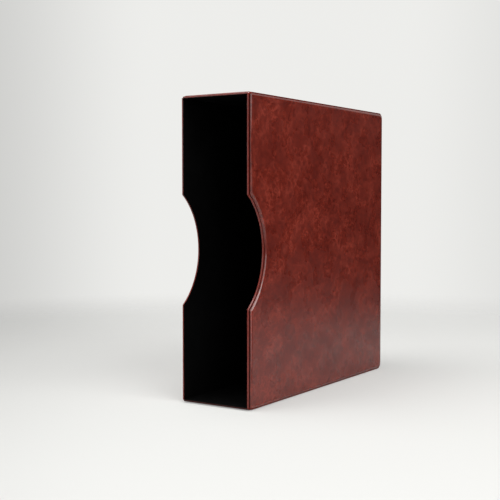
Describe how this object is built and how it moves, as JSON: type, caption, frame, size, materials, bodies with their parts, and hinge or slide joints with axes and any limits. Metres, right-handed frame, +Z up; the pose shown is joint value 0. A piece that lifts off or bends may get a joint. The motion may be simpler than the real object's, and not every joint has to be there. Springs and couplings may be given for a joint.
{
  "type": "coin album slipcase",
  "caption": "Upright slipcase for a coin album: welded leatherette over board, black lining, open front and a round thumb notch in each side",
  "frame": {"origin": "middle of the underside, on the surface that the case stands on", "axes": "+Z is up, the open front faces -Y, the back faces +Y, and X runs across the narrow width"},
  "size_m": [0.0644, 0.2276, 0.24],
  "materials": {
    "leatherette": "marbled burgundy leatherette, satin",
    "weld_seam": "smooth pressed vinyl, burgundy",
    "lining": "matt black vinyl",
    "board": "grey board"
  },
  "bodies": {
    "root": {"left_side_board": "board", "right_side_board": "board", "top_board": "board", "bottom_board": "board", "back_board": "board", "left_side_lining": "lining", "right_side_lining": "lining", "wrap_lining": "lining", "left_side_cover": "leatherette", "right_side_cover": "leatherette", "wrap_cover": "leatherette", "left_front_weld": "weld_seam", "right_front_weld": "weld_seam", "top_front_weld": "weld_seam", "bottom_front_weld": "weld_seam", "left_joint_weld": "weld_seam", "right_joint_weld": "weld_seam"}
  },
  "joints": []
}
